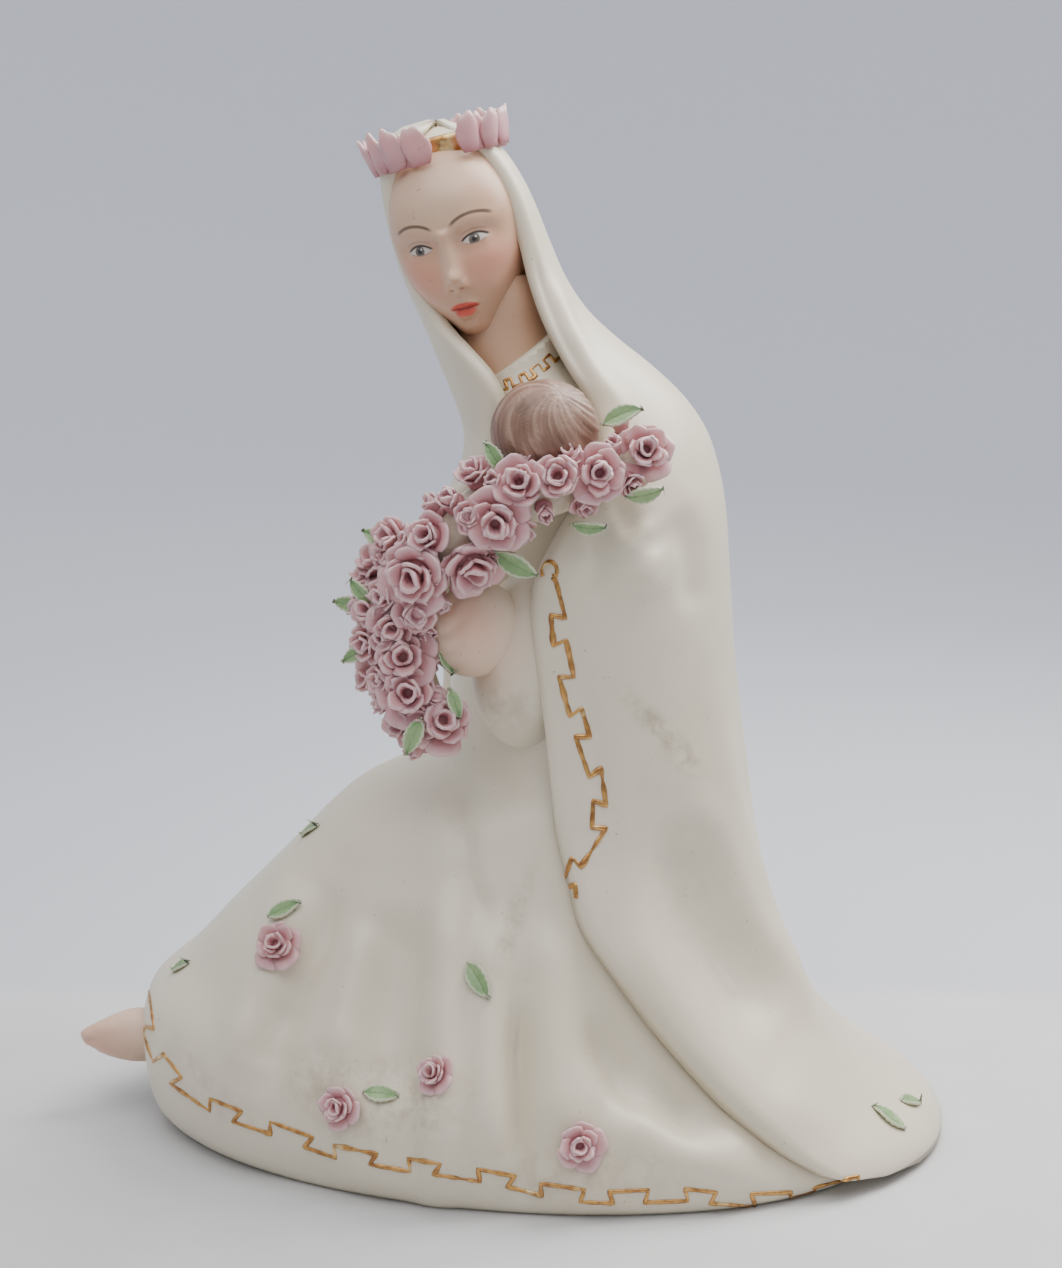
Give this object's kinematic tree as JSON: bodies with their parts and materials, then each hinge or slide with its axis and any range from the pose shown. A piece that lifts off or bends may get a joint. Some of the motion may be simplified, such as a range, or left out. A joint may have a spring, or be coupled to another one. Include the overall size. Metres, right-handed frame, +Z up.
{
  "type": "kneeling madonna and child porcelain figurine",
  "caption": "Kneeling robed mother and child figurine in satin porcelain, with a garland of hand-built roses, a petal crown and a flat foot rim to stand on.",
  "frame": {"origin": "middle of the whole figure's bounding box in plan, on the surface that it stands on", "axes": "+Z is up; -Y is out of the modelled side, from which the child, garland and crown show; the figure leans and its foot points towards -X, the train runs towards +X"},
  "size_m": [0.1938, 0.126, 0.2254],
  "materials": {
    "crown_petal_porcelain": "satin, pale pink",
    "gilding": "fired gilding, worn",
    "leaf_porcelain": "satin, grey-green with pale rims",
    "tinted_flower_porcelain": "satin, dusty pink",
    "white_porcelain": "satin bisque, off-white, with tinted flesh and hair"
  },
  "bodies": {
    "root": {"child_head": "white_porcelain", "child_swaddle": "white_porcelain", "crown_band": "gilding", "crown_petals": "crown_petal_porcelain", "foot": "white_porcelain", "garland_leaf_01": "leaf_porcelain", "garland_leaf_02": "leaf_porcelain", "garland_leaf_03": "leaf_porcelain", "garland_leaf_04": "leaf_porcelain", "garland_leaf_05": "leaf_porcelain", "garland_leaf_06": "leaf_porcelain", "garland_leaf_07": "leaf_porcelain", "garland_leaf_08": "leaf_porcelain", "garland_leaf_09": "leaf_porcelain", "garland_leaf_10": "leaf_porcelain", "garland_leaf_11": "leaf_porcelain", "garland_leaf_12": "leaf_porcelain", "garland_rose_01": "tinted_flower_porcelain", "garland_rose_02": "tinted_flower_porcelain", "garland_rose_03": "tinted_flower_porcelain", "garland_rose_04": "tinted_flower_porcelain", "garland_rose_05": "tinted_flower_porcelain", "garland_rose_06": "tinted_flower_porcelain", "garland_rose_07": "tinted_flower_porcelain", "garland_rose_08": "tinted_flower_porcelain", "garland_rose_09": "tinted_flower_porcelain", "garland_rose_10": "tinted_flower_porcelain", "garland_rose_11": "tinted_flower_porcelain", "garland_rose_12": "tinted_flower_porcelain", "garland_rose_13": "tinted_flower_porcelain", "garland_rose_14": "tinted_flower_porcelain", "garland_rose_15": "tinted_flower_porcelain", "garland_rose_16": "tinted_flower_porcelain", "garland_rose_17": "tinted_flower_porcelain", "garland_rose_18": "tinted_flower_porcelain", "garland_rose_19": "tinted_flower_porcelain", "garland_rose_20": "tinted_flower_porcelain", "garland_rose_21": "tinted_flower_porcelain", "garland_rose_22": "tinted_flower_porcelain", "garland_rose_23": "tinted_flower_porcelain", "garland_rose_24": "tinted_flower_porcelain", "garland_rose_25": "tinted_flower_porcelain", "gown_casting": "white_porcelain", "head_casting": "white_porcelain", "mantle_casting": "white_porcelain", "skirt_leaf_1": "leaf_porcelain", "skirt_leaf_2": "leaf_porcelain", "skirt_leaf_3": "leaf_porcelain", "skirt_leaf_4": "leaf_porcelain", "skirt_leaf_5": "leaf_porcelain", "skirt_rose_1": "tinted_flower_porcelain", "skirt_rose_2": "tinted_flower_porcelain", "skirt_rose_3": "tinted_flower_porcelain", "skirt_rose_4": "tinted_flower_porcelain", "sleeve": "white_porcelain", "supporting_hand": "white_porcelain", "train_leaf_1": "leaf_porcelain", "train_leaf_2": "leaf_porcelain", "veil_casting": "white_porcelain"}
  },
  "joints": []
}
